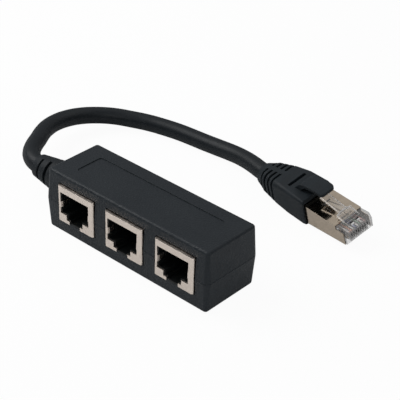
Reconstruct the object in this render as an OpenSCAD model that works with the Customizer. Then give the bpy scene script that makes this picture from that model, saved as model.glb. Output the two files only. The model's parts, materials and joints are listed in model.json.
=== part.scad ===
// Shielded network splitter: three RJ45 jacks in a two-part housing, fed by one RJ45 plug
// on a short round cable.
// Millimetres, +Z up. The origin is the centre of the housing's underside.
// The jacks face -Y, the cable leaves at -X and loops round behind the housing.

/* [Housing] */
// Length of housing beyond the outer jacks, at the parting line
end_room = 5.8; // [5.2:0.1:14]
// Room between the rear of the jacks and the back wall
back_room = 4.2; // [3.6:0.1:10]
// Room between the top of the jacks and the roof
roof_room = 1.7; // [1.2:0.1:8]
// Height of the parting line between the two shells
parting_height = 11; // [10.5:0.1:12]
// Thickness of the shell walls
wall = 1.8; // [1.5:0.1:2]
// Draft of the side walls, away from the parting line
draft_angle = 4; // [1:0.5:5]
// Radius of the upright edges
upright_edge_radius = 1.9; // [1.6:0.1:3]
// Radius of the top and bottom edges
rim_edge_radius = 1; // [0.6:0.1:1.4]
// Width of the fine chamfer that marks the parting line
seam_chamfer = 0.15; // [0.05:0.05:0.3]
// Height of the locating lip at the parting line
lip_height = 1.2; // [0.8:0.1:1.6]
// Thickness of the locating lip
lip_thickness = 0.8; // [0.6:0.1:0.9]
// Length of the shallow recess in the top
recess_length = 54; // [20:1:58]
// Width of the shallow recess in the top
recess_width = 11; // [4:0.5:13]
// Depth of the shallow recess in the top
recess_depth = 0.3; // [0.1:0.1:0.6]
// Corner radius of the shallow recess
recess_radius = 1.2; // [0.4:0.1:2]

/* [Circuit board] */
// Thickness of the board
board_thickness = 1.6; // [1.2:0.2:2]
// Height of the board's top face, on which the jacks stand
board_top = 5.5; // [5.2:0.1:5.7]
// Gap between the board's edge and the shells
board_clearance = 0.4; // [0.2:0.1:0.6]
// Thickness of the ribs that clamp the board
rib_thickness = 1.6; // [1:0.1:2.4]
// Radius of the pins that locate the board
pin_radius = 1; // [0.6:0.1:1.2]

/* [Jacks] */
// Distance between neighbouring jacks
jack_pitch = 21.4; // [19:0.2:21.6]
// Offset of the middle jack from the housing's centre
jack_offset = 0.5; // [0:0.1:1]
// Width of a jack's shield
jack_width = 16; // [15.6:0.1:16.4]
// Height of a jack's shield above the board
jack_height = 13; // [12.8:0.1:13.2]
// Depth of a jack, front to back
jack_depth = 18; // [17.6:0.1:18.4]
// How far a jack's face stands out of the housing
jack_protrusion = 0.5; // [0.3:0.1:2]
// Thickness of the folded sheet of the shields
sheet = 0.35; // [0.25:0.05:0.4]
// Radius of the shield's folded front edges
fold_radius = 0.8; // [0.5:0.1:1.2]
// Width of the opening in a jack's face
aperture_width = 12.8; // [12.4:0.1:13]
// Height of the opening's full-width part
aperture_height = 7.8; // [7.4:0.1:8]
// Metal left above the opening
aperture_margin = 2.2; // [2:0.1:2.4]
// Sideways offset of the opening in the face
aperture_offset = -0.3; // [-0.4:0.1:0.4]
// Width of the first step of the latch notch
notch_width = 7.4; // [6.8:0.1:7.8]
// Height of the first step of the latch notch
notch_height = 1.8; // [1.4:0.1:2]
// Width of the notch's last step, open at the bottom
notch_slot_width = 4.8; // [4.6:0.1:5.4]
// Pitch of the eight contacts, in the jacks and in the plug
contact_pitch = 1.02; // [0.98:0.01:1.04]
// Clearance between pieces that slide together
fit_clearance = 0.05; // [0.03:0.01:0.1]
// Clearance round a jack in the housing's window
window_clearance = 0.35; // [0.1:0.05:0.4]

/* [Strain relief] */
// Radius of the strain relief where it leaves the housing
relief_root_radius = 6.4; // [5.8:0.1:6.6]
// Radius of the strain relief at its end on the cable
relief_tip_radius = 4.1; // [3.9:0.1:4.5]
// Length of the strain relief outside the housing
relief_length = 15.9; // [15.4:0.1:16.2]
// Radius of the neck held between the two shells
relief_neck_radius = 4.4; // [4:0.1:4.8]
// Radius of the flange inside the housing
relief_flange_radius = 5.4; // [5.2:0.1:5.6]
// Number of flexing slots along the strain relief
relief_slots = 3; // [1:1:3]
// Distance between neighbouring slots
relief_slot_pitch = 3.9; // [3.4:0.1:4]
// Width of the slots next to the housing
relief_slot_width = 1.4; // [0.8:0.1:1.6]
// Width of the slot next to the cable
relief_end_slot_width = 0.95; // [0.6:0.05:1.4]
// Width of the bridges left between a slot's upper and lower halves
relief_bridge = 2.3; // [1.6:0.1:3]

/* [Cable] */
// Diameter of the round cable
cable_diameter = 6.2; // [5.8:0.1:6.2]
// Diameter of one insulated conductor
conductor_diameter = 0.9; // [0.7:0.05:0.92]

/* [Plug] */
// Width of the clear plug body at its nose
plug_width = 11.7; // [11.5:0.1:11.8]
// Length of the plug from its nose to the rear of its shield
plug_length = 22; // [21.4:0.1:22.2]
// Height of the plug at the front edge of its shield
plug_front_height = 6.1; // [6:0.1:6.3]
// Height of the plug at the rear of its shield
plug_rear_height = 7.6; // [7.4:0.1:7.8]
// Length of clear nose in front of the shield
nose_length = 4.8; // [4.4:0.1:5.2]
// Width of the latch at its root
latch_width = 6.2; // [5.8:0.1:6.3]
// Width of the latch's lever
lever_width = 3.2; // [2.8:0.1:3.6]

/* [Boot] */
// Width of the boot at its open front end
boot_width = 13.6; // [13.4:0.1:14]
// Length of the boot's body
boot_length = 26; // [25.6:0.1:26.4]
// Number of flexing grooves on each side
boot_grooves = 4; // [2:1:4]
// Distance between neighbouring grooves
boot_groove_pitch = 2.2; // [1.9:0.05:2.25]
// Width of a groove
boot_groove_width = 1; // [0.6:0.05:1.1]
// Depth of a groove
boot_groove_depth = 0.9; // [0.5:0.1:0.9]
// Width of the tongue that guards the latch
tongue_width = 6.4; // [6:0.1:8]
// Thickness of the tongue
tongue_thickness = 1.1; // [0.8:0.1:1.3]

/* [Hidden] */
jack_names = ["left", "middle", "right"];
conductor_names = [
    "white_orange", "orange", "white_green", "blue", "white_blue", "green", "white_brown", "brown"
];
conductor_colours = [
    "moccasin", "darkorange", "palegreen", "royalblue", "lightsteelblue", "seagreen", "tan", "saddlebrown"
];
contact_count = len(conductor_names);

// A cut goes this far past the face that it opens
past = 1;
drill_facets = 32;

// Housing and board, derived
housing_length = (len(jack_names) - 1) * jack_pitch + jack_width + 2 * end_room;
housing_depth = jack_depth - jack_protrusion + back_room + wall;
housing_height = board_top + jack_height + roof_room + wall;
housing_end = -housing_length / 2;
board_underside = board_top - board_thickness;
board_inset = wall + (parting_height - board_underside) * tan(draft_angle) + board_clearance;
board_length = housing_length - 2 * board_inset;
board_depth = housing_depth - 2 * board_inset;
board_pin_y = board_depth / 2 - 2.6;
rim_steps = 4;
corner_steps = 5;
lip_clearance = 0.1;
clamp_rib_length = 12;
end_ledge_length = 10;

// Jacks, derived
jack_front = -(housing_depth / 2 + jack_protrusion);
aperture_top = jack_height - aperture_margin;
aperture_bottom = aperture_top - aperture_height;
notch_bottom = aperture_bottom - notch_height;
insert_width = jack_width - 2 * sheet - 2 * fit_clearance;
insert_height = jack_height - sheet - fit_clearance;
insert_front = sheet + fit_clearance;
socket_clearance = 0.15;
socket_width = plug_width + 2 * socket_clearance;
socket_top = aperture_top - 0.3;
socket_bottom = aperture_bottom + 0.3;
latch_channel_width = latch_width + 2 * socket_clearance;
latch_channel_slot_width = notch_slot_width - 0.4;
channel_floor = 0.6;
carrier_width = 11.2;
carrier_height = insert_height - 1.2;
carrier_front = jack_depth - 5.4;
carrier_rear = jack_depth - sheet - fit_clearance;
contact_width = 0.4;
contact_thickness = 0.3;
contact_roof = socket_top + 0.45;
contact_row_gap = 2.5;
contact_reach = contact_x(contact_count - 1) + 0.6;
tail_length = 2.7;
tail_hole_radius = 0.4;
rear_plate_lift = 1.5;
leg_y = 6;
leg_width = 1.2;
leg_hole_radius = 0.8;
peg_x = 5.6;
peg_y = 9;
peg_radius = 1.6;
peg_length = 1.4;
spring_height = 2.2;
spring_bottom = aperture_bottom + 2.1;
spring_thickness = 0.25;
spring_reach = 0.45;
spring_length = 3;
spring_pocket = 0.95;

// Strain relief, derived
cable_radius = cable_diameter / 2;
cable_bore_radius = cable_radius + fit_clearance;
jacket_gap = 0.03;
board_wire_near = 0.8;
board_wire_far = 2;
board_wire_bend = 0.6;
conductor_sides = 8;
relief_tip = housing_end - relief_length;
relief_flange_thickness = 1.1;
relief_flange_start = housing_end + wall + relief_flange_radius * tan(draft_angle) + fit_clearance;
relief_first_slot = relief_tip + 3.5;
relief_slot_core = cable_bore_radius + 0.6;

// Route of the cable's centre line from inside the housing to inside the boot, chosen by hand
cable_sides = 10;
cable_route = concat(
    [for (x = [3.5, -1.8, -6.8, -11.8, -15.8]) [housing_end + x, 0, parting_height]],
    [
        [-54.2, 0.5, 11], [-57.4, 2, 11], [-60.4, 4.6, 10.8], [-63.2, 8.2, 10.5], [-66, 12.6, 10],
        [-68.9, 17.1, 9.5], [-71.4, 21.9, 8.8], [-73.1, 27.2, 8], [-73.6, 32.9, 7.2], [-72.7, 38.9, 6.3],
        [-70.2, 44.6, 5.4], [-65.9, 49.8, 4.6], [-60.5, 53.7, 3.9], [-54.4, 56.8, 3.5], [-48.3, 58.7, 3.3],
        [-42.3, 60, 3.2], [-36.3, 60.7, 3.15], [-30.3, 61.2, 3.15], [-24.3, 61.5, 3.4], [-18.3, 61.3, 4],
        [-12.3, 60.5, 4.7], [-6.3, 59, 5.3], [-0.2, 57.2, 5.65], [6, 56.1, 6], [12, 55.2, 6.35],
        [17.9, 54.35, 6.7], [22.9, 53.6, 7]
    ]
);

// Pose of the plug, whose own frame has +X out of its nose, +Z towards the latch, and its origin
// at the lower front edge of the nose
plug_position = [46, 51.3, 3.55];
plug_yaw = -8.5;
plug_pitch = 3.3;
plug_roll = 13.5;

// Plug, derived
shield_thickness = 0.3;
shield_width = plug_width + 0.2;
plug_core_width = shield_width - 2 * shield_thickness - 2 * fit_clearance;
plug_slope = (plug_rear_height - plug_front_height) / (plug_length - nose_length);
core_rear = -20;
cable_height_in_plug = 4.9;
jacket_end = -22.8;
wire_row_height = 3.5;
nose_top = plug_front_height - shield_thickness;
nose_lip = 1;
side_step_height = 4.6;
load_bar_front = -8.6;
load_bar_length = 2.4;
load_bar_height = 2;
blade_front = -1.4;
blade_length = 4.8;
blade_thickness = 0.32;
blade_top = 2.7;
blade_bottom = 0.35;
latch_shoulder = -6.6;
lever_end = -15.2;
lever_slope = 0.27;
lever_thickness = 0.8;
wire_bore_radius = conductor_diameter / 2 + 0.02;
ferrule_inner_radius = cable_radius + 0.1;
floor_front = -9;
tab_x = -12.5;
tab_length = 4.8;
tab_width = 3.8;
tab_slit = 0.3;
tab_taper = 14;
ferrule_outer_radius = ferrule_inner_radius + shield_thickness;
ferrule_length = 3;
neck_width = 3;
neck_top = cable_height_in_plug - ferrule_inner_radius;
wire_end = -1;
wire_bore_end = wire_end + 0.1;

// Boot, derived
boot_front = -19;
boot_rear = boot_front - boot_length;
boot_cable_bore = cable_radius + 0.15;
boot_first_groove = boot_rear + 3.5;
boot_shoulder = -34;
boot_spine = 1.9;
boot_slot_x = -28;
boot_slot_width = 1.2;
boot_slot_length = 7.8;
boot_slot_floor = 8.7;

// Sections of the boot from its rear to its front: place along the plug, half width, lowest and highest
// height, corner radius
boot_sections = [
    [boot_rear, 3.9, 1.2, 8.6, 3.6],
    [boot_rear + 2.2, 4.5, 0.9, 9.1, 3.4],
    [boot_rear + 4, 5.2, 0.5, 9.5, 3],
    [boot_shoulder - 0.2, 6.2, 0, 10.2, 2.2],
    [boot_shoulder + 6, boot_width / 2 - 0.2, -0.4, 10.4, 1.4],
    [boot_front - 1.2, boot_width / 2, -0.75, 9.6, 0.9],
    [boot_front, boot_width / 2 - 0.1, -0.65, 9.3, 0.9]
];

// Crest of the tongue in side view, from its root on the boot's back to its tip,
// and the underside of its root
tongue_crest = [
    [-26.6, 9.9], [-25.2, 10.7], [-24, 11.8], [-22.6, 12.7], [-20.6, 13.2], [-17, 13.4], [-14.6, 13.2],
    [-12.7, 12.8]
];
tongue_root_floor = [[-22, 11.1], [-23, 10.1], [-23.6, 8.6], [-26.6, 8.6]];
tongue_corner = 1.3;
tongue_reach = 12;

function jack_x(i) = jack_offset + (i - 1) * jack_pitch;
function contact_x(k) = (k - (contact_count - 1) / 2) * contact_pitch;
function unit(v) = v / norm(v);

// Closed outline of a rectangle with round corners, counter-clockwise
function round_outline(half_x, half_y, radius) = [
    for (corner = [0:3]) for (step = [0:corner_steps])
        let (
            angle = 90 * corner + 90 * step / corner_steps,
            x = (corner == 0 || corner == 3) ? half_x - radius : radius - half_x,
            y = corner < 2 ? half_y - radius : radius - half_y
        )
        [x + radius * cos(angle), y + radius * sin(angle)]
];

// Outline of a strip of even thickness along a flat path, with mitred corners
function mitre(path, i) =
    let (
        last = len(path) - 1,
        before = unit(path[max(i, 1)] - path[max(i, 1) - 1]),
        after = unit(path[min(i, last - 1) + 1] - path[min(i, last - 1)]),
        middle = unit(before + after)
    )
    [-middle.y, middle.x] / (middle * before);
function strip(path, thickness) = concat(
    [for (i = [0:len(path) - 1]) path[i] + mitre(path, i) * thickness / 2],
    [for (i = [len(path) - 1:-1:0]) path[i] - mitre(path, i) * thickness / 2]
);

// Skin over rings of equal length, each counter-clockwise as seen from the last ring's side
module skin(rings) {
    n = len(rings[0]);
    last = len(rings) - 1;
    sides = [
        for (ring = [0:last - 1]) for (j = [0:n - 1])
            let (a = ring * n + j, b = ring * n + (j + 1) % n)
            each [[a, a + n, b + n], [a, b + n, b]]
    ];
    polyhedron(
        points = [for (ring = rings) each ring],
        faces = concat([[for (j = [0:n - 1]) j]], sides, [[for (j = [n - 1:-1:0]) last * n + j]])
    );
}

// Round tube along a route of points in space
function route_direction(route, i) =
    unit(route[min(i + 1, len(route) - 1)] - route[max(i - 1, 0)]);
function route_ring(route, i, radius, sides, reference) =
    let (
        ahead = route_direction(route, i),
        side = unit(cross(reference, ahead)),
        up = cross(ahead, side)
    )
    [for (j = [0:sides - 1]) route[i] + radius * (cos(360 * j / sides) * side + sin(360 * j / sides) * up)];
// No part of the route may run along the reference direction
module tube(route, radius, sides, reference = [0, 0, 1]) {
    skin([for (i = [0:len(route) - 1]) route_ring(route, i, radius, sides, reference)]);
}

// Bar with a side profile in X and Z, centred across Y
module profile_bar(points, width) {
    translate([0, width / 2, 0])
        rotate([90, 0, 0])
            linear_extrude(width) polygon(points);
}

module box(low, high) {
    translate(low) cube(high - low);
}

// Housing shells

// Insets and heights of a half shell's outside, measured from the parting line
function half_profile(height) =
    let (foot = (height - rim_edge_radius) * tan(draft_angle))
    concat(
        [[seam_chamfer, 0], [0, seam_chamfer], [foot, height - rim_edge_radius]],
        [for (step = [1:rim_steps])
            let (angle = 90 * step / rim_steps)
            [foot + rim_edge_radius * (1 - cos(angle)), height - rim_edge_radius * (1 - sin(angle))]]
    );
function housing_ring(inset, z) =
    let (radius = max(upright_edge_radius - inset, 0.3))
    [for (p = round_outline(housing_length / 2 - inset, housing_depth / 2 - inset, radius)) [p.x, p.y, z]];

// Half of the housing, standing up from the parting plane at z = 0
module half_outside(height) {
    skin([for (p = half_profile(height)) housing_ring(p[0], p[1])]);
}
module half_inside(height) {
    skin([
        housing_ring(wall + -past * tan(draft_angle), -past),
        housing_ring(wall + (height - wall) * tan(draft_angle), height - wall)
    ]);
}
module parting_band(outer_inset, inner_inset, low, high) {
    difference() {
        skin([housing_ring(outer_inset, low), housing_ring(outer_inset, high)]);
        skin([housing_ring(inner_inset, low - past), housing_ring(inner_inset, high + past)]);
    }
}
module jack_windows() {
    for (i = [0:len(jack_names) - 1])
        translate([jack_x(i), 0, board_top])
            box(
                [-jack_width / 2 - window_clearance, jack_front - past, -window_clearance],
                [
                    jack_width / 2 + window_clearance,
                    -housing_depth / 2 + 2 * wall,
                    jack_height + window_clearance
                ]
            );
}
module relief_passage() {
    translate([housing_end - past, 0, parting_height])
        rotate([0, 90, 0])
            cylinder(h = wall + 3 * past, r = relief_neck_radius + fit_clearance, $fn = 48);
}
module clamp_positions() {
    for (i = [0, 1])
        translate([jack_x(i) + jack_pitch / 2, 0, 0]) children();
}

module upper_shell() {
    height = housing_height - parting_height;
    color("#25282b") {
        difference() {
            translate([0, 0, parting_height]) difference() {
                half_outside(height);
                half_inside(height);
                parting_band(
                    wall - lip_thickness - lip_clearance, wall + past, -past, lip_height + lip_clearance
                );
                translate([0, 0, height - recess_depth])
                    linear_extrude(recess_depth + past)
                        polygon(round_outline(recess_length / 2, recess_width / 2, recess_radius));
            }
            jack_windows();
            relief_passage();
        }
        clamp_positions()
            box(
                [-rib_thickness / 2, -clamp_rib_length / 2, board_top],
                [rib_thickness / 2, clamp_rib_length / 2, housing_height - wall / 2]
            );
    }
}

module lower_shell() {
    ledge_end = board_length / 2 - 1.2;
    color("#222528") {
        difference() {
            union() {
                translate([0, 0, parting_height]) {
                    mirror([0, 0, 1]) difference() {
                        half_outside(parting_height);
                        half_inside(parting_height);
                    }
                    parting_band(wall - lip_thickness, wall, -0.6, lip_height);
                }
                clamp_positions()
                    box(
                        [-rib_thickness / 2, -board_depth / 2 + 1, wall / 2],
                        [rib_thickness / 2, board_depth / 2 - 1, board_underside]
                    );
                for (side = [-1, 1])
                    scale([side, 1, 1])
                        box(
                            [ledge_end, -end_ledge_length / 2, wall / 2],
                            [board_length / 2 + board_clearance, end_ledge_length / 2, board_underside]
                        );
            }
            jack_windows();
            relief_passage();
        }
        clamp_positions()
            translate([0, board_pin_y, board_underside - wall / 2])
                cylinder(h = wall / 2 + board_thickness - 0.2, r = pin_radius, $fn = drill_facets);
    }
}

// Circuit board

module drill(radius) {
    translate([0, 0, -board_thickness - past])
        cylinder(h = board_thickness + 2 * past, r = radius, $fn = drill_facets);
}
module circuit_board() {
    color("darkgreen") difference() {
        translate([0, 0, board_underside])
            linear_extrude(board_thickness)
                polygon(round_outline(board_length / 2, board_depth / 2, 1));
        translate([0, 0, board_top]) {
            clamp_positions()
                translate([0, board_pin_y, 0]) drill(pin_radius + fit_clearance);
            for (i = [0:len(jack_names) - 1]) translate([jack_x(i), jack_front, 0]) {
                for (k = [0:contact_count - 1])
                    translate([contact_x(k), tail_y(k), 0]) drill(tail_hole_radius);
                for (side = [-1, 1]) {
                    translate([side * (jack_width - sheet) / 2, leg_y, 0]) drill(leg_hole_radius);
                    translate([side * peg_x, peg_y, 0]) drill(peg_radius + fit_clearance);
                }
            }
        }
    }
}

// Jacks, each in its own frame: Y runs back from the face and Z up from the board

function tail_y(k) = carrier_rear - 1.4 - (k % 2) * contact_row_gap;

module jack_place(i) {
    translate([jack_x(i), jack_front, board_top]) children();
}
module aperture_outline() {
    half = aperture_width / 2;
    translate([aperture_offset, 0]) polygon([
        [-half, aperture_top], [-half, aperture_bottom],
        [-notch_width / 2, aperture_bottom], [-notch_width / 2, notch_bottom],
        [-notch_slot_width / 2, notch_bottom], [-notch_slot_width / 2, -past],
        [notch_slot_width / 2, -past], [notch_slot_width / 2, notch_bottom],
        [notch_width / 2, notch_bottom], [notch_width / 2, aperture_bottom],
        [half, aperture_bottom], [half, aperture_top]
    ]);
}
module shield_block(inset, low, high) {
    radius = max(fold_radius - inset, 0.2);
    translate([0, jack_depth / 2, low])
        linear_extrude(high - low)
            polygon(round_outline(jack_width / 2 - inset, jack_depth / 2 - inset, radius));
}
// Sprung finger beside the opening, folded in from the face
module side_spring(side) {
    edge = aperture_width / 2;
    spring_crest = edge - spring_reach + spring_thickness / 2;
    path = [
        [edge + 0.5, spring_thickness / 2], [edge - 0.1, spring_thickness / 2],
        [spring_crest, 0.7], [spring_crest, 1.4], [edge + 0.25, spring_length]
    ];
    translate([aperture_offset, 0, spring_bottom])
        scale([side, 1, 1])
            linear_extrude(spring_height) polygon(strip(path, spring_thickness));
}
module jack_shield(i) {
    color("#c9c1b8") jack_place(i) {
        difference() {
            shield_block(0, 0, jack_height);
            shield_block(sheet, -past, jack_height - sheet);
            translate([0, sheet + past, 0])
                rotate([90, 0, 0])
                    linear_extrude(sheet + 2 * past) aperture_outline();
            // The rear plate stops above the board, clear of the contact tails
            box(
                [-carrier_width / 2, jack_depth - 2 * past, -past],
                [carrier_width / 2, jack_depth + past, rear_plate_lift]
            );
        }
        for (side = [-1, 1]) {
            translate([side * (jack_width - sheet) / 2, leg_y, 0])
                box([-sheet / 2, -leg_width / 2, -tail_length], [sheet / 2, leg_width / 2, past]);
            side_spring(side);
        }
    }
}
module jack_body(i) {
    color("#17181a") jack_place(i) difference() {
        union() {
            difference() {
                translate([0, (insert_front + carrier_rear) / 2, 0])
                    linear_extrude(insert_height)
                        polygon(round_outline(insert_width / 2, (carrier_rear - insert_front) / 2, 0.4));
                // Mouth for the plug, with the stepped channel for its latch
                translate([aperture_offset, 0, 0]) {
                    box(
                        [-socket_width / 2, -past, socket_bottom],
                        [socket_width / 2, carrier_front, socket_top]
                    );
                    box(
                        [-latch_channel_width / 2, -past, notch_bottom + 0.3],
                        [latch_channel_width / 2, carrier_front, socket_bottom + past]
                    );
                    box(
                        [-latch_channel_slot_width / 2, -past, channel_floor],
                        [latch_channel_slot_width / 2, carrier_front, notch_bottom + past]
                    );
                    for (side = [-1, 1])
                        scale([side, 1, 1])
                            box(
                                [socket_width / 2 - past, -past, spring_bottom - 0.2],
                                [
                                    socket_width / 2 + spring_pocket,
                                    spring_length + 0.5,
                                    spring_bottom + spring_height + 0.2
                                ]
                            );
                }
                // Slot in the roof in which the contacts flex
                box(
                    [-contact_reach, 1.6, socket_top - past],
                    [contact_reach, carrier_front + past, contact_roof + 0.4]
                );
            }
            for (side = [-1, 1])
                translate([side * peg_x, peg_y, -peg_length])
                    cylinder(h = peg_length + channel_floor, r = peg_radius, $fn = drill_facets);
        }
        // Rear pocket for the contact carrier
        box(
            [-carrier_width / 2 - fit_clearance, carrier_front, -past],
            [carrier_width / 2 + fit_clearance, jack_depth + past, carrier_height + fit_clearance]
        );
    }
}

// Path of one contact in Y and Z: up through the board and the carrier, forward under the roof,
// round the bend at the mouth and back down to its free end
function contact_path(k) = [
    [tail_y(k), -tail_length], [tail_y(k), contact_roof], [2.8, contact_roof],
    [2.3, contact_roof - 0.45], [2.8, contact_roof - 0.9], [9, contact_roof - 2.8]
];
module contact_wires() {
    for (k = [0:contact_count - 1])
        translate([contact_x(k) - contact_width / 2, 0, 0])
            rotate([90, 0, 90])
                linear_extrude(contact_width) polygon(strip(contact_path(k), contact_thickness));
}
module contact_carrier(i) {
    color("#2b2d30") jack_place(i) difference() {
        box([-carrier_width / 2, carrier_front, 0], [carrier_width / 2, carrier_rear, carrier_height]);
        contact_wires();
    }
}
module jack_contacts(i) {
    color("gold") jack_place(i) contact_wires();
}

// Strain relief, turned about the cable's axis

module along_cable_exit() {
    translate([0, 0, parting_height]) rotate([0, 90, 0]) rotate([0, 0, 90]) children();
}
// Ring-shaped cut at x, interrupted by a bridge at the front and at the back
module relief_slot(x, width) {
    difference() {
        translate([0, 0, x - width / 2]) cylinder(h = width, r = relief_root_radius + past, $fn = 48);
        translate([0, 0, x - width]) cylinder(h = 2 * width, r = relief_slot_core, $fn = 48);
        translate([-relief_root_radius - 2 * past, -relief_bridge / 2, x - width])
            cube([2 * relief_root_radius + 4 * past, relief_bridge, 2 * width]);
    }
}
module strain_relief() {
    flange_end = relief_flange_start + relief_flange_thickness;
    color("#1d1f22") along_cable_exit() difference() {
        rotate_extrude($fn = 64) polygon([
            [cable_bore_radius, relief_tip], [relief_tip_radius - 0.4, relief_tip],
            [relief_tip_radius, relief_tip + 0.4], [relief_root_radius, housing_end - 0.2],
            [relief_neck_radius, housing_end - 0.2], [relief_neck_radius, relief_flange_start],
            [relief_flange_radius, relief_flange_start], [relief_flange_radius, flange_end],
            [cable_bore_radius, flange_end]
        ]);
        for (slot = [0:relief_slots - 1])
            rotate([0, 0, 90])
                relief_slot(
                    relief_first_slot + slot * relief_slot_pitch,
                    slot == 0 ? relief_end_slot_width : relief_slot_width
                );
    }
}

// Cable and conductors

module cable() {
    color("#1b1d20") tube(cable_route, cable_radius, cable_sides);
}

// Place of a conductor in the end of the jacket: two rows, staggered
function bundle_side(k) = contact_x(k) * 0.6;
function bundle_lift(k) = k % 2 == 0 ? 0.6 : -0.6;

// A conductor leaves the jacket, drops beside the left jack and ends on the board. The upper row of
// conductors ends on the pads nearer to the jack, the lower row on the pads nearer to the cable.
module board_wire(k) {
    start = cable_route[0] + [jacket_gap, bundle_side(k), bundle_lift(k)];
    pad_x = start.x + (k % 2 == 0 ? board_wire_far : board_wire_near);
    pad_y = contact_x(k);
    bend = board_wire_bend;
    route = [
        start,
        [pad_x - bend, start.y, start.z],
        [pad_x - bend * 0.3, start.y, start.z - bend * 0.3],
        [pad_x, start.y, start.z - bend],
        [pad_x, pad_y, board_top + 1.4],
        [pad_x, pad_y, board_top]
    ];
    color(conductor_colours[k]) tube(route, conductor_diameter / 2, conductor_sides, [0, 1, 0]);
}

// Plug pieces, drawn in the plug's own frame

module plug_place() {
    translate(plug_position) rotate([plug_roll, -plug_pitch, plug_yaw]) children();
}
// Height of the shield's top at x
function plug_top(x) = plug_front_height - (x + nose_length) * plug_slope;

module plug_shield() {
    rear = -plug_length;
    front = -nose_length;
    inner_width = shield_width - 2 * shield_thickness;
    color("#b3a58f") plug_place() {
        difference() {
            profile_bar([
                [rear, 0], [-nose_lip, 0], [-nose_lip - 0.4, side_step_height - 0.6],
                [-nose_lip - 0.8, side_step_height - 0.3], [front, side_step_height],
                [front, plug_front_height], [rear, plug_rear_height]
            ], shield_width);
            profile_bar([
                [rear - past, shield_thickness], [past, shield_thickness], [past, side_step_height + past],
                [front + past, plug_top(front + past) - shield_thickness],
                [rear - past, plug_top(rear - past) - shield_thickness]
            ], inner_width);
            // The contact side stays open in front of the shield's floor
            box([floor_front, -inner_width / 2, -past], [past, inner_width / 2, past]);
            // Three slits round the locking tab in the top
            for (side = [-1, 1])
                translate([tab_x, side * tab_width / 2.5, plug_rear_height - past])
                    rotate([0, 0, side * tab_taper])
                        box(
                            [-tab_length / 2, -tab_slit / 2, -past],
                            [tab_length / 2, tab_slit / 2, 2 * past]
                        );
            translate([tab_x - tab_length / 2 - tab_slit, -tab_width / 2, plug_rear_height - 2 * past])
                cube([2 * tab_slit, tab_width, 3 * past]);
        }
        // Ferrule crimped on the cable's jacket, joined to the shield's floor
        difference() {
            translate([rear - ferrule_length, 0, cable_height_in_plug])
                rotate([0, 90, 0])
                    cylinder(h = ferrule_length, r = ferrule_outer_radius, $fn = 48);
            translate([rear - ferrule_length - past, 0, cable_height_in_plug])
                rotate([0, 90, 0])
                    cylinder(h = ferrule_length + 2 * past, r = ferrule_inner_radius, $fn = 48);
        }
        profile_bar([
            [rear - 0.6, neck_top - 0.5], [rear - 0.6, neck_top], [rear, neck_top],
            [rear + 0.5, shield_thickness], [rear + 0.5, 0], [rear, 0]
        ], neck_width);
    }
}

module plug_body() {
    front = -nose_length;
    core_top = plug_top(front) - shield_thickness - fit_clearance;
    core_rear_top = plug_top(core_rear) - shield_thickness - fit_clearance;
    color("whitesmoke", 0.45) plug_place() {
        difference() {
            union() {
                profile_bar([
                    [core_rear, shield_thickness + fit_clearance], [-0.3, shield_thickness + fit_clearance],
                    [0, 0.6], [0, nose_top - 1.7], [-nose_lip, nose_top], [front, core_top],
                    [core_rear, core_rear_top]
                ], plug_core_width);
                // Full-width nose above and ahead of the shield's side walls
                profile_bar([
                    [front + fit_clearance, side_step_height + fit_clearance],
                    [-nose_lip + fit_clearance, side_step_height - 0.2], [-nose_lip + fit_clearance, 0.35],
                    [-0.3, 0.35], [0, 0.6], [0, nose_top - 1.7], [-nose_lip, nose_top],
                    [front + fit_clearance, nose_top]
                ], plug_width);
                latch();
            }
            for (k = [0:contact_count - 1]) translate([0, contact_x(k), 0]) {
                // Slot of a contact blade, open at the front and below
                box(
                    [blade_front - blade_length - fit_clearance, -blade_thickness / 2 - 0.02, -past],
                    [past, blade_thickness / 2 + 0.02, blade_top]
                );
                // Bore of a conductor, with its blind end in the nose
                translate([load_bar_front - past, 0, wire_row_height])
                    rotate([0, 90, 0])
                        cylinder(h = wire_bore_end - load_bar_front + past, r = wire_bore_radius, $fn = 24);
            }
            // Hollow that takes the load bar and the fanned conductors
            box([load_bar_front - load_bar_length - fit_clearance, -4.5, wire_row_height - 1.1],
                [load_bar_front, 4.5, wire_row_height + 1.1]);
            box([core_rear - past, -4.5, 1.4], [load_bar_front - load_bar_length, 4.5, 6]);
        }
    }
}
// Latch: a wide root with two shoulders, then a narrow sprung lever that slopes up to the rear
module latch() {
    shoulder_top = nose_top + 2.1;
    lever_rise = (latch_shoulder - lever_end) * lever_slope;
    profile_bar([
        [-2.6, nose_top - 0.4], [-2.6, nose_top + 0.4], [-3.3, nose_top + 0.9],
        [latch_shoulder, shoulder_top], [latch_shoulder, shoulder_top - 1],
        [-4.2, nose_top + 0.3], [-4.2, nose_top - 0.4]
    ], latch_width);
    profile_bar([
        [latch_shoulder + 1, shoulder_top - 0.4], [latch_shoulder, shoulder_top],
        [lever_end, shoulder_top + lever_rise],
        [lever_end - 0.2, shoulder_top - lever_thickness + lever_rise],
        [latch_shoulder, shoulder_top - lever_thickness - 0.1], [latch_shoulder + 1, shoulder_top - 1.2]
    ], lever_width);
}

module plug_load_bar() {
    color("azure") plug_place() difference() {
        box(
            [load_bar_front - load_bar_length, -4.4, wire_row_height - load_bar_height / 2],
            [load_bar_front - fit_clearance, 4.4, wire_row_height + load_bar_height / 2]
        );
        for (k = [0:contact_count - 1])
            translate([load_bar_front - load_bar_length - past, contact_x(k), wire_row_height])
                rotate([0, 90, 0])
                    cylinder(h = load_bar_length + 2 * past, r = wire_bore_radius, $fn = 24);
    }
}

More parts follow.
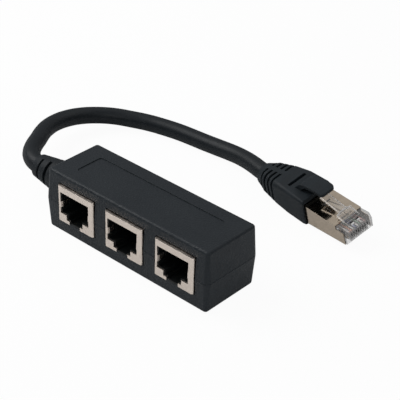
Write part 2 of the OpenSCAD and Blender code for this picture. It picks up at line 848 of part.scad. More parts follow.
// Gold blade with two points that pierce the conductor's insulation
module plug_contact(k) {
    rear = blade_front - blade_length;
    color("gold") plug_place() translate([0, contact_x(k), 0])
        profile_bar([
            [rear, blade_bottom + 0.5], [rear + 0.6, blade_bottom], [blade_front - 0.6, blade_bottom],
            [blade_front, blade_bottom + 0.6], [blade_front, 1.6], [blade_front - 0.5, blade_top],
            [blade_front - 1.2, 1.9], [rear + 1.2, 1.9], [rear + 0.5, blade_top], [rear, 1.6]
        ], blade_thickness);
}

// A conductor leaves the jacket behind the plug, spreads to the contact pitch and ends in the nose
module plug_wire(k) {
    side = contact_x(k);
    route = [
        [jacket_end, bundle_side(k), cable_height_in_plug + bundle_lift(k)],
        [-21, bundle_side(k) * 1.15, cable_height_in_plug + bundle_lift(k) - 0.3],
        [-17, side * 0.95, wire_row_height + bundle_lift(k) + 0.3],
        [-13.5, side, wire_row_height + bundle_lift(k) * 0.1],
        [load_bar_front - load_bar_length, side, wire_row_height],
        [wire_end, side, wire_row_height]
    ];
    color(conductor_colours[k]) plug_place() tube(route, conductor_diameter / 2, conductor_sides);
}

// Boot

function boot_ring(section, inset) =
    let (
        low = section[2] + inset,
        high = section[3] - inset,
        half = section[1] - inset,
        radius = max(min(section[4] - inset, half - 0.05, (high - low) / 2 - 0.05), 0.3)
    )
    [for (p = round_outline(half, (high - low) / 2, radius)) [section[0], p.x, p.y + (low + high) / 2]];
module boot_skin(inset) {
    skin([for (section = boot_sections) boot_ring(section, inset)]);
}
module boot_groove_cuts() {
    difference() {
        for (groove = [0:boot_grooves - 1])
            translate([boot_first_groove + groove * boot_groove_pitch, 0, 0])
                box(
                    [-boot_groove_width / 2, -boot_width, -boot_width],
                    [boot_groove_width / 2, boot_width, 2 * boot_width]
                );
        boot_skin(boot_groove_depth);
        // Spine on top and below
        box(
            [boot_rear - past, -boot_spine / 2, -boot_width],
            [boot_shoulder + past, boot_spine / 2, 2 * boot_width]
        );
    }
}
// Tongue: rises from the boot's back, arches over the latch and ends ahead of the lever
module tongue() {
    last = len(tongue_crest) - 1;
    under = [for (i = [last:-1:4]) tongue_crest[i] - [0, tongue_thickness]];
    intersection() {
        profile_bar(concat(tongue_crest, under, tongue_root_floor), tongue_width);
        // The free end has rounded corners in plan
        translate([tongue_crest[last].x - tongue_reach, 0, 0])
            linear_extrude(2 * plug_rear_height)
                polygon(round_outline(tongue_reach, tongue_width / 2, tongue_corner));
    }
}
module plug_boot() {
    pocket = fit_clearance + 0.05;
    color("#1f2124") plug_place() {
        difference() {
            union() {
                boot_skin(0);
                tongue();
            }
            boot_groove_cuts();
            // Pocket for the rear of the plug, then for the ferrule, then the cable's bore
            box(
                [-plug_length - 0.1, -shield_width / 2 - pocket, -pocket],
                [boot_front + past, shield_width / 2 + pocket, plug_rear_height + pocket]
            );
            translate([-plug_length - ferrule_length - 0.2, 0, cable_height_in_plug])
                rotate([0, 90, 0])
                    cylinder(h = ferrule_length + past, r = ferrule_outer_radius + pocket, $fn = 48);
            box(
                [-plug_length - 0.8, -neck_width / 2 - pocket, -pocket],
                [-plug_length, neck_width / 2 + pocket, cable_height_in_plug]
            );
            translate([boot_rear - past, 0, cable_height_in_plug])
                rotate([0, 90, 0])
                    cylinder(h = boot_length, r = boot_cable_bore, $fn = 48);
            box([boot_slot_x - boot_slot_width / 2, -boot_slot_length / 2, boot_slot_floor],
                [boot_slot_x + boot_slot_width / 2, boot_slot_length / 2, 2 * plug_rear_height]);
        }
    }
}

upper_shell();
lower_shell();
circuit_board();
strain_relief();
cable();
for (i = [0:len(jack_names) - 1]) {
    jack_shield(i);
    jack_body(i);
    contact_carrier(i);
    jack_contacts(i);
}
for (k = [0:contact_count - 1]) {
    board_wire(k);
    plug_contact(k);
    plug_wire(k);
}
plug_boot();
plug_shield();
plug_body();
plug_load_bar();
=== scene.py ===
"""Looks of a shielded network splitter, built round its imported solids.

Metres, in the frame of the solids: the housing stands on z = 0, its jacks face -Y.
"""

import json
import math

import bpy
from mathutils import Matrix, Vector

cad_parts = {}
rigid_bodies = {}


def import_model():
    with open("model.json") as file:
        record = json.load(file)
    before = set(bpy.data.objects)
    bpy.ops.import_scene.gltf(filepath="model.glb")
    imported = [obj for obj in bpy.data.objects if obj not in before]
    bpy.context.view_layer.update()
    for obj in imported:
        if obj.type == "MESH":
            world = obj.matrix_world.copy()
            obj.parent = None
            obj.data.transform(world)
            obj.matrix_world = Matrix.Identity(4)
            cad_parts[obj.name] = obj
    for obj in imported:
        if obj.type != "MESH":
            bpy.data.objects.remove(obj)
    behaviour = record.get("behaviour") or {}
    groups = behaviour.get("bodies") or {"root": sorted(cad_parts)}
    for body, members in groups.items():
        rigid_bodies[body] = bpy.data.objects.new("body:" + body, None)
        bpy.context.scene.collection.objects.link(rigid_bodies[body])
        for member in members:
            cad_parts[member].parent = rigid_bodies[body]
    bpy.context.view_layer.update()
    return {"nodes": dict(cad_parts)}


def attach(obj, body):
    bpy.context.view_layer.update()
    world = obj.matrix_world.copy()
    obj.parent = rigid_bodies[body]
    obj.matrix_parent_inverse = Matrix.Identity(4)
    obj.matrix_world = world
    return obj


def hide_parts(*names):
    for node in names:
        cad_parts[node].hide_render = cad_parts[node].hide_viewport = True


MM = 0.001
SIDES = ("left", "middle", "right")
CONDUCTORS = (
    "white_orange", "orange", "white_green", "blue",
    "white_blue", "green", "white_brown", "brown",
)
CONTACTS = 8
CONTACT_PITCH = 1.02

# Places in the plug's own frame, in millimetres
WINDOW_PLACES = (-1.3, 1.3)
WINDOW_HALF_WIDTH = 0.6
WINDOW_BACK, WINDOW_FRONT, WINDOW_WALL_FRONT = -2.35, -1.65, -1.35
WINDOW_BOTTOM, WINDOW_TOP = 5.3, 5.83
SLOT_HALF_WIDTH = 0.17
SLOT_BACK, SLOT_FRONT = -0.4, 0.01
SLOT_BOTTOM, SLOT_TOP = 2.6, 3.9
LATCH_FOOT = 6.05
LATCH_STEP = ((-6.9, -2, 7.7), (-6.35, 2, 8.03))
PLUG_PLACE = (
    Matrix.Translation(Vector((46, 51.3, 3.55)) * MM)
    @ Matrix.Rotation(math.radians(-8.5), 4, "Z")
    @ Matrix.Rotation(math.radians(-3.3), 4, "Y")
    @ Matrix.Rotation(math.radians(13.5), 4, "X")
)

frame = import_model()
nodes = frame["nodes"]


# Selecting and making objects

def deselect_everything():
    for thing in bpy.context.scene.objects:
        thing.select_set(False)
    bpy.context.view_layer.objects.active = None


def take(piece):
    """Select one object alone and make it active."""
    deselect_everything()
    piece.select_set(True)
    bpy.context.view_layer.objects.active = piece


def apply_modifiers(piece):
    take(piece)
    for modifier in list(piece.modifiers):
        bpy.ops.object.modifier_apply(modifier=modifier.name)


# Camera and cable come first

def add_camera():
    """Camera at the photograph's angle: azimuth, elevation and a slight roll."""
    azimuth, elevation, roll = (math.radians(a) for a in (41.03, 32.67, 2.0))
    turn = (
        Matrix.Rotation(azimuth, 3, "Z")
        @ Matrix.Rotation(math.pi / 2 - elevation, 3, "X")
        @ Matrix.Rotation(roll, 3, "Z")
    )
    bpy.ops.object.camera_add(location=(0.23435, -0.24513, 0.23806), rotation=turn.to_euler())
    camera = bpy.context.object
    camera.data.sensor_width = 36
    camera.data.lens = 116.2
    camera.data.clip_start = 0.01
    bpy.context.scene.camera = camera


CABLE_DIAMETER = 6.2 * MM
CABLE_ROUTE = [
    (-31.7, 0, 11), (-37, 0, 11), (-42, 0, 11), (-47, 0, 11), (-51, 0, 11), (-54.2, 0.5, 11),
    (-57.4, 2, 11), (-60.4, 4.6, 10.8), (-63.2, 8.2, 10.5), (-66, 12.6, 10), (-68.9, 17.1, 9.5),
    (-71.4, 21.9, 8.8), (-73.1, 27.2, 8), (-73.6, 32.9, 7.2), (-72.7, 38.9, 6.3), (-70.2, 44.6, 5.4),
    (-65.9, 49.8, 4.6), (-60.5, 53.7, 3.9), (-54.4, 56.8, 3.5), (-48.3, 58.7, 3.3), (-42.3, 60, 3.2),
    (-36.3, 60.7, 3.15), (-30.3, 61.2, 3.15), (-24.3, 61.5, 3.4), (-18.3, 61.3, 4), (-12.3, 60.5, 4.7),
    (-6.3, 59, 5.3), (-0.2, 57.2, 5.65), (6, 56.1, 6), (12, 55.2, 6.35), (17.9, 54.35, 6.7),
    (22.9, 53.6, 7),
]


def make_cable():
    """Round jacket swept along the route as a smooth curve."""
    points = [Vector(p) * MM for p in CABLE_ROUTE]
    curve = bpy.data.curves.new("cable_jacket", "CURVE")
    curve.dimensions = "3D"
    curve.twist_mode = "Z_UP"
    curve.bevel_depth = CABLE_DIAMETER / 2
    curve.bevel_resolution = 10
    curve.resolution_u = 6
    curve.use_fill_caps = True
    spline = curve.splines.new("BEZIER")
    spline.bezier_points.add(len(points) - 1)
    for knot, point in zip(spline.bezier_points, points):
        knot.co = point
        knot.handle_left_type = knot.handle_right_type = "AUTO"
    cable = bpy.data.objects.new("cable_jacket", curve)
    bpy.context.scene.collection.objects.link(cable)
    take(cable)
    bpy.ops.object.convert(target="MESH")
    bpy.ops.object.shade_smooth_by_angle(angle=math.radians(40))
    return bpy.context.object


# Shader maths

class Wire:
    """An output socket that joins in arithmetic by adding Math nodes."""

    def __init__(self, finish, socket):
        self.finish, self.socket = finish, socket

    def maths(self, operation, *values):
        return self.finish.node("ShaderNodeMath", {"operation": operation}, *values)

    def __add__(self, other):
        return self.maths("ADD", self, other)

    def __sub__(self, other):
        return self.maths("SUBTRACT", self, other)

    def __rsub__(self, other):
        return self.maths("SUBTRACT", other, self)

    def __mul__(self, other):
        return self.maths("MULTIPLY", self, other)

    def __truediv__(self, other):
        return self.maths("DIVIDE", self, other)

    def __gt__(self, other):
        return self.maths("GREATER_THAN", self, other)

    __radd__ = __add__
    __rmul__ = __mul__


class Finish:
    """A material under construction round one Principled shader."""

    def __init__(self, name, **fixed):
        self.material = bpy.data.materials.new(name)
        self.material.use_nodes = True
        self.tree = self.material.node_tree
        self.shader = self.tree.nodes["Principled BSDF"]
        for socket, value in fixed.items():
            self.shader.inputs[socket.replace("_", " ")].default_value = value

    def node(self, kind, settings=None, *values, output=0, **named):
        """Add a node: its settings first, then values or wires for its sockets by place or name."""
        made = self.tree.nodes.new(kind)
        for key, value in (settings or {}).items():
            if key == "stops":
                self.set_stops(made.color_ramp, value)
            else:
                setattr(made, key, value)
        for place, value in list(enumerate(values)) + [(k.replace("_", " "), v) for k, v in named.items()]:
            self.feed(made.inputs[place], value)
        return Wire(self, made.outputs[output])

    @staticmethod
    def set_stops(ramp, stops):
        while len(ramp.elements) < len(stops):
            ramp.elements.new(1)
        for element, (place, level) in zip(ramp.elements, stops):
            element.position = place
            element.color = (level, level, level, 1) if isinstance(level, (int, float)) else (*level, 1)

    def feed(self, socket, value):
        if isinstance(value, Wire):
            self.tree.links.new(value.socket, socket)
        else:
            socket.default_value = value

    def place(self, scale=(1, 1, 1), turn=(0, 0, 0)):
        """Object coordinates in millimetres, stretched and turned."""
        where = self.node("ShaderNodeTexCoord", output="Object")
        return self.node(
            "ShaderNodeMapping", {}, where, Scale=tuple(s / MM for s in scale), Rotation=turn
        )

    def noise(self, place, scale, detail=3, roughness=0.5):
        return self.node(
            "ShaderNodeTexNoise", {}, Vector=place, Scale=scale,
            Detail=detail, Roughness=roughness, output="Fac",
        )

    def cells(self, place, scale, feature="F1"):
        return self.node(
            "ShaderNodeTexVoronoi", {"feature": feature}, Vector=place, Scale=scale, output="Distance"
        )

    def spread(self, value, low, high, start=0.3, end=0.7):
        """Map a pattern's usual range onto low to high."""
        return self.node("ShaderNodeMapRange", {}, value, start, end, low, high)

    def rim(self, amount):
        """Roughness to add towards grazing angles."""
        return self.node("ShaderNodeLayerWeight", {}, Blend=0.3, output="Facing") * amount

    def between(self, share, first, second):
        """Mix two colours by a share."""
        mix = self.tree.nodes.new("ShaderNodeMix")
        mix.data_type = "RGBA"
        self.feed(mix.inputs["Factor"], share)
        for socket, colour in (("A", first), ("B", second)):
            target = next(s for s in mix.inputs if s.name == socket and s.type == "RGBA")
            self.feed(target, colour if isinstance(colour, Wire) else (*colour, 1))
        return Wire(self, next(s for s in mix.outputs if s.type == "RGBA"))

    def bump(self, height, depth_mm, strength=1.0, over=None):
        """Bump of a real depth in millimetres; over is another bump beneath it."""
        made = self.tree.nodes.new("ShaderNodeBump")
        made.inputs["Strength"].default_value = strength
        made.inputs["Distance"].default_value = depth_mm * MM
        self.feed(made.inputs["Height"], height)
        if over is not None:
            self.feed(made.inputs["Normal"], over)
        return Wire(self, made.outputs["Normal"])

    def set(self, **sockets):
        for socket, value in sockets.items():
            self.feed(self.shader.inputs[socket.replace("_", " ")], value)
        return self.material


# Finishes

def spark_eroded_black():
    """Black shell plastic with a fine eroded grain, and a painted sparkle of lighter grey on the high spots
    of the grain.
    """
    finish = Finish("spark_eroded_black", IOR=1.5, Specular_IOR_Level=0.16)
    place = finish.place()
    grain = finish.cells(place, 2.2, "SMOOTH_F1")
    fine = finish.noise(place, 2.6, 3, 0.7)
    drift = finish.noise(place, 0.06, 2)
    handled = finish.noise(place, 0.35, 4, 0.6)
    colour = finish.between(finish.spread(drift, 0, 1), (0.0115, 0.0152, 0.019), (0.0150, 0.0190, 0.0230))
    # painted sparkle: lighter grey where the fine grain noise is high, standing for glints on the grain
    colour = finish.between(finish.spread(fine, 0, 0.6, 0.46, 0.72), colour, (0.030, 0.035, 0.040))
    rough = finish.spread(handled, 0.35, 0.43) + finish.spread(fine, -0.05, 0.05) + finish.rim(0.1)
    relief = finish.bump(grain + fine * 0.5, 0.11, 1.0)
    return finish.set(Base_Color=colour, Roughness=rough, Normal=relief)


def satin_moulding(name, tone):
    """Softer black moulding of the boot and the strain relief."""
    finish = Finish(name, IOR=1.48, Specular_IOR_Level=0.16)
    place = finish.place()
    fine = finish.noise(place, 3.5, 3)
    smear = finish.noise(place, 0.25, 4, 0.6)
    colour = finish.between(finish.spread(smear, 0, 1), tone, tuple(c * 1.5 for c in tone))
    rough = finish.spread(smear, 0.42, 0.54) + finish.spread(fine, -0.03, 0.03) + finish.rim(0.3)
    return finish.set(Base_Color=colour, Roughness=rough, Normal=finish.bump(fine, 0.02, 0.6))


def extruded_jacket():
    """Cable jacket: faint drawing lines along the length and a satin sheen."""
    finish = Finish("extruded_jacket", IOR=1.5, Specular_IOR_Level=0.17)
    unrolled = finish.node("ShaderNodeTexCoord", output="UV")
    lines = finish.node("ShaderNodeMapping", {}, unrolled, Scale=(4, 60, 1))
    streak = finish.noise(lines, 1.6, 3)
    place = finish.place()
    scuff = finish.noise(place, 0.4, 4, 0.6)
    colour = finish.between(finish.spread(scuff, 0, 1), (0.0060, 0.0085, 0.0110), (0.0085, 0.0110, 0.0135))
    rough = finish.spread(scuff, 0.33, 0.43) + finish.rim(0.35)
    return finish.set(
        Base_Color=colour, Roughness=rough, Normal=finish.bump(streak, 0.02, 0.5)
    )


def plated_sheet(name, light, dark, rough=(0.26, 0.38), lines=(0.4, 0.4, 9), depth=0.006):
    """Nickel-plated folded sheet with fine rolling lines and slight staining."""
    finish = Finish(name, Metallic=1.0)
    place = finish.place()
    rolled = finish.noise(finish.place(lines), 1.2, 3)
    stain = finish.noise(place, 0.45, 4, 0.6)
    colour = finish.between(finish.spread(stain, 0, 1), dark, light)
    roughness = finish.spread(stain, *rough) + finish.spread(rolled, -0.04, 0.04)
    return finish.set(
        Base_Color=colour, Roughness=roughness, Normal=finish.bump(rolled, depth, 0.5)
    )


def connector_moulding(name, tone):
    finish = Finish(name, IOR=1.5, Specular_IOR_Level=0.25)
    place = finish.place()
    flow = finish.noise(place, 0.8, 3)
    colour = finish.between(finish.spread(flow, 0, 1), tone, tuple(c * 1.6 for c in tone))
    return finish.set(
        Base_Color=colour,
        Roughness=finish.spread(flow, 0.4, 0.55),
        Normal=finish.bump(finish.noise(place, 5, 2), 0.01, 0.5),
    )


def gold_plate():
    finish = Finish("gold_plate", Metallic=1.0)
    wear = finish.noise(finish.place(), 1.5, 4, 0.6)
    colour = finish.between(finish.spread(wear, 0, 1), (0.78, 0.52, 0.20), (0.95, 0.72, 0.34))
    return finish.set(Base_Color=colour, Roughness=finish.spread(wear, 0.16, 0.3))


def solder_mask():
    """Green mask on glass cloth, whose weave shows faintly."""
    finish = Finish("solder_mask", IOR=1.5, Coat_Weight=0.4, Coat_Roughness=0.1)
    place = finish.place()
    weave = finish.node("ShaderNodeTexChecker", {}, Vector=place, Scale=1.6, output="Fac")
    cloud = finish.noise(place, 0.3, 3)
    colour = finish.between(finish.spread(cloud, 0, 1), (0.012, 0.11, 0.04), (0.02, 0.17, 0.06))
    return finish.set(
        Base_Color=colour,
        Roughness=finish.spread(cloud, 0.25, 0.4),
        Normal=finish.bump(weave + cloud, 0.01, 0.4),
    )


def clear_moulding(name, tint, see=0.2, rough=0.07):
    """Clear polycarbonate: thin where looked straight through, milky at grazing edges."""
    finish = Finish(name, IOR=1.5)
    place = finish.place()
    flow = finish.noise(place, 0.7, 3)
    colour = finish.between(finish.spread(flow, 0, 1), tint, tuple(c * 0.93 for c in tint))
    edge = finish.node("ShaderNodeLayerWeight", {}, Blend=0.35, output="Facing")
    return finish.set(
        Base_Color=colour,
        Alpha=edge * 0.55 + finish.spread(flow, see, see + 0.06),
        Roughness=finish.spread(flow, rough, rough + 0.08),
        Normal=finish.bump(flow, 0.01, 0.3),
    )


def along(finish, vector, axis):
    """Length of a vector along one axis of the plug's frame."""
    return finish.node(
        "ShaderNodeVectorMath", {"operation": "DOT_PRODUCT"}, vector, tuple(axis), output="Value"
    )


def turned(finish, facing, axis, start, end):
    """0 to 1 as a face turns square to an axis of the plug's frame."""
    share = along(finish, facing, axis)
    return finish.spread(share.maths("ABSOLUTE", share), 0, 1, start, end)


def plug_moulding():
    """Clear plug body: hazy on flat tops, with painted shade in the sides of its slots and a painted
    highlight on the latch's sides, standing for light caught inside.
    """
    finish = Finish("clear_polycarbonate_painted_light", IOR=1.5)
    out, across, up = PLUG_PLACE.to_3x3().col
    facing = finish.node("ShaderNodeNewGeometry", output="True Normal")
    where = finish.node("ShaderNodeTexCoord", output="Object")
    wall = 1 - turned(finish, facing, up, 0.3, 0.85)
    # painted shade: faces square to the plug's width, the sides of its slots, get a dark colour and more
    # opacity
    slot_shade_mask = turned(finish, facing, across, 0.5, 0.8)
    front = turned(finish, facing, out, 0.5, 0.8)
    on_latch = along(finish, where, up) > (PLUG_PLACE.translation.dot(up) + LATCH_FOOT * MM)
    flow = finish.noise(finish.place(), 0.7, 3)
    top = finish.between(finish.spread(flow, 0, 1), (0.72, 0.70, 0.68), (0.64, 0.62, 0.60))
    # painted shade in the sides of the slots; the body's other sides keep a plain pale tone
    body_colour_with_slot_shade = finish.between(slot_shade_mask, (0.60, 0.585, 0.575), (0.09, 0.082, 0.077))
    # painted highlight: the latch's sides are near white, standing for light caught inside the clear
    # plastic
    side_colour_with_painted_light = finish.between(on_latch, body_colour_with_slot_shade, (0.92, 0.90, 0.88))
    clear_share = finish.spread(flow, 0.12, 0.18) + (1 - on_latch) * 0.05
    return finish.set(
        Base_Color=finish.between(wall, top, side_colour_with_painted_light),
        Alpha=clear_share + wall * on_latch * 0.75 + (1 - on_latch) * (slot_shade_mask * 0.42 + front * 0.2),
        Roughness=finish.spread(flow, 0.06, 0.14),
        Normal=finish.bump(flow, 0.01, 0.3),
    )


def painted_edge_highlight():
    """Moulded edges of the clear plug, painted pale as a highlight where they catch the light."""
    finish = Finish("clear_edge_highlight", IOR=1.5)
    glint = finish.noise(finish.place(), 0.9, 2)
    return finish.set(
        # painted highlight: pale to near-white edge colour, flecked by the glint noise
        Base_Color=finish.between(finish.spread(glint, 0, 1), (0.66, 0.64, 0.62), (0.98, 0.97, 0.95)),
        Alpha=finish.spread(glint, 0.55, 0.95),
        Roughness=finish.spread(glint, 0.1, 0.2),
    )


def bare(name, tone, rough):
    finish = Finish(name, IOR=1.5, Specular_IOR_Level=0.2)
    cloud = finish.noise(finish.place(), 1.1, 3)
    return finish.set(
        Base_Color=finish.between(finish.spread(cloud, 0, 1), tone, tuple(c * 0.8 for c in tone)),
        Roughness=finish.spread(cloud, rough, rough + 0.1),
    )


STRIPE_OF = {"white_orange": "orange", "white_green": "green", "white_blue": "blue", "white_brown": "brown"}
INSULATION = {
    "orange": (0.72, 0.20, 0.03),
    "green": (0.03, 0.22, 0.08),
    "blue": (0.03, 0.09, 0.42),
    "brown": (0.42, 0.085, 0.07),
}


def insulation(name):
    """Coloured insulation; the paler partner of a pair is white with a stripe of its colour."""
    finish = Finish(f"insulation_{name}", IOR=1.5)
    place = finish.place()
    cloud = finish.noise(place, 0.9, 3)
    plain = INSULATION[STRIPE_OF.get(name, name)]
    if name in STRIPE_OF:
        band = finish.node(
            "ShaderNodeTexWave", {"bands_direction": "Z"},
            Vector=place, Scale=0.6, Distortion=0.6, output="Fac",
        )
        colour = finish.between(finish.spread(band, 0, 1, 0.6, 0.7), (0.78, 0.76, 0.72), plain)
    else:
        colour = finish.between(finish.spread(cloud, 0, 1), plain, tuple(c * 0.8 for c in plain))
    return finish.set(Base_Color=colour, Roughness=finish.spread(cloud, 0.3, 0.42))


# Pieces that stand for a solid

MERGE_GAP = 0.002
FLAT_ANGLE = 0.5


def paint(piece, material, edge=None):
    """Give a piece its material, and one for its bevelled edges where named."""
    piece.data.materials.clear()
    for made in (material, edge):
        if made:
            piece.data.materials.append(made)


def smooth_copy(name, edge_mm, material, edge=None, angle=32):
    """Merged copy of a solid with a fine radius on its sharp edges, standing for that solid."""
    solid = nodes[name]
    piece = bpy.data.objects.new(f"{name}_dressed", solid.data.copy())
    bpy.context.scene.collection.objects.link(piece)
    take(piece)
    bpy.ops.object.mode_set(mode="EDIT")
    bpy.ops.mesh.select_all(action="SELECT")
    bpy.ops.mesh.remove_doubles(threshold=MERGE_GAP * MM)
    bpy.ops.mesh.dissolve_limited(angle_limit=math.radians(FLAT_ANGLE))
    bpy.ops.mesh.select_all(action="DESELECT")
    bpy.ops.object.mode_set(mode="OBJECT")
    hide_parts(name)
    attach(piece, "root")
    paint(piece, material, edge)
    bevel = piece.modifiers.new("edges", "BEVEL")
    bevel.width = edge_mm * MM
    bevel.segments = 2
    bevel.limit_method = "ANGLE"
    bevel.angle_limit = math.radians(angle)
    bevel.material = 1 if edge else -1
    take(piece)
    bpy.ops.object.shade_smooth_by_angle(angle=math.radians(angle))
    weighted = piece.modifiers.new("flat_faces", "WEIGHTED_NORMAL")
    weighted.keep_sharp = True
    apply_modifiers(piece)
    return piece


def blocks_at(places, half_width, reach, height):
    """One box at each place across the plug, as its low and high corners."""
    return [
        ((reach[0], y - half_width, height[0]), (reach[1], y + half_width, height[1])) for y in places
    ]


def plug_blocks(name, boxes, material):
    """Boxes in the plug's own frame, in millimetres, joined into one object."""
    made = []
    for low, high in boxes:
        bpy.ops.mesh.primitive_cube_add(size=1)
        piece = bpy.context.object
        middle = Vector([(a + b) / 2 * MM for a, b in zip(low, high)])
        sides = [(b - a) * MM for a, b in zip(low, high)]
        piece.matrix_world = PLUG_PLACE @ Matrix.Translation(middle) @ Matrix.Diagonal((*sides, 1))
        made.append(piece)
    deselect_everything()
    for piece in made:
        piece.select_set(True)
    bpy.context.view_layer.objects.active = made[0]
    bpy.ops.object.join()
    joined = bpy.context.object
    joined.name = name
    bpy.ops.object.transform_apply(location=True, rotation=True, scale=True)
    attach(joined, "root")
    paint(joined, material)
    return joined


# Stage

FLOOR_WHITE_TO_CAMERA = 0.95
FLOOR_WHITE_IN_METAL = 0.1


def seen_by(tree, *kinds):
    """1 for the named kinds of ray and 0 for the rest."""
    rays = tree.nodes.new("ShaderNodeLightPath")
    level = rays.outputs[f"Is {kinds[0]} Ray"]
    for kind in kinds[1:]:
        either = tree.nodes.new("ShaderNodeMath")
        either.operation = "MAXIMUM"
        tree.links.new(level, either.inputs[0])
        tree.links.new(rays.outputs[f"Is {kind} Ray"], either.inputs[1])
        level = either.outputs[0]
    return level


def mixed(tree, share, first, second):
    """Mix of two shaders; share is a socket."""
    mix = tree.nodes.new("ShaderNodeMixShader")
    for socket, wire in zip(mix.inputs, (share, first, second)):
        tree.links.new(wire, socket)
    return mix.outputs[0]


def white_floor():
    """Pale floor: nearly white to the camera and glass, a little lifted for metal, shadow kept."""
    material = bpy.data.materials.new("white_floor")
    material.use_nodes = True
    tree = material.node_tree
    tree.nodes.clear()
    shine = tree.nodes.new("ShaderNodeMath")
    shine.operation = "MULTIPLY"
    tree.links.new(seen_by(tree, "Glossy"), shine.inputs[0])
    shine.inputs[1].default_value = FLOOR_WHITE_IN_METAL
    part = tree.nodes.new("ShaderNodeMath")
    part.operation = "MULTIPLY_ADD"
    tree.links.new(seen_by(tree, "Camera", "Transmission"), part.inputs[0])
    part.inputs[1].default_value = FLOOR_WHITE_TO_CAMERA
    tree.links.new(shine.outputs[0], part.inputs[2])
    matte = tree.nodes.new("ShaderNodeBsdfDiffuse")
    matte.inputs["Color"].default_value = (0.86, 0.86, 0.86, 1)
    glow = tree.nodes.new("ShaderNodeEmission")
    glow.inputs["Color"].default_value = (1, 1, 1, 1)
    glow.inputs["Strength"].default_value = 1.0
    out = tree.nodes.new("ShaderNodeOutputMaterial")
    tree.links.new(mixed(tree, part.outputs[0], matte.outputs[0], glow.outputs[0]), out.inputs["Surface"])
    return material


def surround():
    """World: even dim light, white to the camera and glass, and for metal a room lighter above."""
    world = bpy.data.worlds.new("surround")
    world.use_nodes = True
    tree = world.node_tree
    even = tree.nodes["Background"]
    even.inputs["Color"].default_value = (0.96, 0.98, 1, 1)
    even.inputs["Strength"].default_value = 0.3
    direction = tree.nodes.new("ShaderNodeTexCoord")
    axes = tree.nodes.new("ShaderNodeSeparateXYZ")
    tree.links.new(direction.outputs["Generated"], axes.inputs[0])
    rise = tree.nodes.new("ShaderNodeValToRGB")
    Finish.set_stops(rise.color_ramp, ((0.3, 0.12), (0.6, 0.75)))
    tree.links.new(axes.outputs["Z"], rise.inputs[0])
    room = tree.nodes.new("ShaderNodeBackground")
    room.inputs["Color"].default_value = (1, 1, 1, 1)
    tree.links.new(rise.outputs[0], room.inputs["Strength"])
    white = tree.nodes.new("ShaderNodeBackground")
    white.inputs["Color"].default_value = (1, 1, 1, 1)
    white.inputs["Strength"].default_value = 1.0
    reflected = mixed(tree, seen_by(tree, "Glossy"), even.outputs[0], room.outputs[0])
    shown = mixed(tree, seen_by(tree, "Camera", "Transmission"), reflected, white.outputs[0])
    tree.links.new(shown, tree.nodes["World Output"].inputs["Surface"])
    return world


def set_stage():
    """Pale floor, a white surround and soft studio lamps."""
    bpy.ops.mesh.primitive_plane_add(size=6, location=(0, 0, -0.00005))
    floor = bpy.context.object
    floor.name = "floor"
    paint(floor, white_floor())
    bpy.context.scene.world = surround()
    bpy.context.scene.view_settings.view_transform = "Standard"
    centre = Vector((-0.005, 0.02, 0.01))
    lamps = (
        ("key_panel", (-0.38, -0.12, 0.42), 0.4, 2.2),
        ("fill_panel", (0.45, -0.35, 0.3), 0.5, 0.8),
        ("back_panel", (0.1, 0.6, 0.5), 0.6, 0.6),
    )
    for name, where, size, power in lamps:
        aim = (centre - Vector(where)).to_track_quat("-Z", "Y").to_euler()
        bpy.ops.object.light_add(type="AREA", location=where, rotation=aim)
        lamp = bpy.context.object
        lamp.name = name
        lamp.data.size = size
        lamp.data.energy = power


deselect_everything()
add_camera()
cable = make_cable()
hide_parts("cable")
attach(cable, "root")

shell_black = spark_eroded_black()
relief_black = satin_moulding("relief_moulding", (0.0075, 0.0095, 0.0115))
boot_black = satin_moulding("boot_moulding", (0.0095, 0.0127, 0.0155))
jack_metal = plated_sheet("plated_jack_sheet", (0.745, 0.66, 0.587), (0.67, 0.59, 0.53))
plug_metal = plated_sheet(
    "plated_plug_sheet", (0.44, 0.375, 0.30), (0.38, 0.32, 0.255),
    rough=(0.08, 0.15), lines=(0.5, 6, 6), depth=0.002,
)
# black plastic inside the jacks, made much darker than the shell: partly its own black, partly painted
# shade in the jack openings
insert_black_and_shade = connector_moulding("jack_insert_moulding", (0.0022, 0.0028, 0.003))
carrier_black_and_shade = connector_moulding("carrier_moulding", (0.0028, 0.0034, 0.0036))
gold = gold_plate()
clear = plug_moulding()
clear_edge_highlight = painted_edge_highlight()
clear_bar = clear_moulding("clear_load_bar", (0.70, 0.70, 0.70), 0.3)

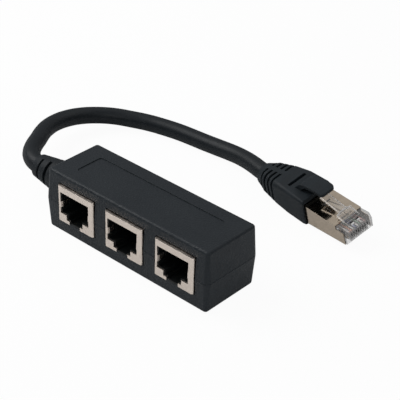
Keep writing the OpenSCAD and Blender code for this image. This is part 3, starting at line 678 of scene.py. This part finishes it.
for name in ("upper_shell", "lower_shell"):
    smooth_copy(name, 0.06, shell_black)
relief_piece = smooth_copy("strain_relief", 0.1, relief_black)
boot_piece = smooth_copy("plug_boot", 0.12, boot_black)
plug_shell_piece = smooth_copy("plug_shield", 0.05, plug_metal)
plug_body_piece = smooth_copy("plug_body", 0.16, clear, clear_edge_highlight)
paint(cable, extruded_jacket())

for side in SIDES:
    smooth_copy(f"{side}_jack_shield", 0.06, jack_metal)
    paint(nodes[f"{side}_jack_body"], insert_black_and_shade)
    paint(nodes[f"{side}_contact_carrier"], carrier_black_and_shade)
    paint(nodes[f"{side}_jack_contacts"], gold)
paint(nodes["circuit_board"], solder_mask())
paint(nodes["plug_load_bar"], clear_bar)

contact_places = [(k - (CONTACTS - 1) / 2) * CONTACT_PITCH for k in range(CONTACTS)]
# painted shade: near-black boxes in the plug's two window openings and in its eight contact slots at the
# nose, where there is only shade
window_and_slot_shade = plug_blocks(
    "plug_window_and_slot_shade",
    blocks_at(
        WINDOW_PLACES, WINDOW_HALF_WIDTH, (WINDOW_BACK, WINDOW_FRONT), (WINDOW_BOTTOM, WINDOW_TOP)
    )
    + blocks_at(contact_places, SLOT_HALF_WIDTH, (SLOT_BACK, SLOT_FRONT), (SLOT_BOTTOM, SLOT_TOP)),
    bare("painted_window_and_slot_shade", (0.006, 0.006, 0.007), 0.5),
)
# painted highlight: thin near-white boxes across the front of the two window openings, standing for light
# caught at their edges
lit_window_fronts = plug_blocks(
    "plug_window_front_highlights",
    blocks_at(
        WINDOW_PLACES, WINDOW_HALF_WIDTH, (WINDOW_FRONT, WINDOW_WALL_FRONT), (WINDOW_BOTTOM, WINDOW_TOP)
    ),
    bare("window_front_highlight", (0.85, 0.84, 0.82), 0.2),
)
# painted highlight: an opaque light grey box on the latch's step, standing for light caught there
catch = plug_blocks(
    "latch_step", [LATCH_STEP], bare("latch_step_highlight", (0.5, 0.48, 0.46), 0.15)
)
for k in range(CONTACTS):
    paint(nodes[f"plug_contact_{k + 1}"], gold)
for name in CONDUCTORS:
    colour = insulation(name)
    paint(nodes[f"board_wire_{name}"], colour)
    paint(nodes[f"plug_wire_{name}"], colour)

set_stage()
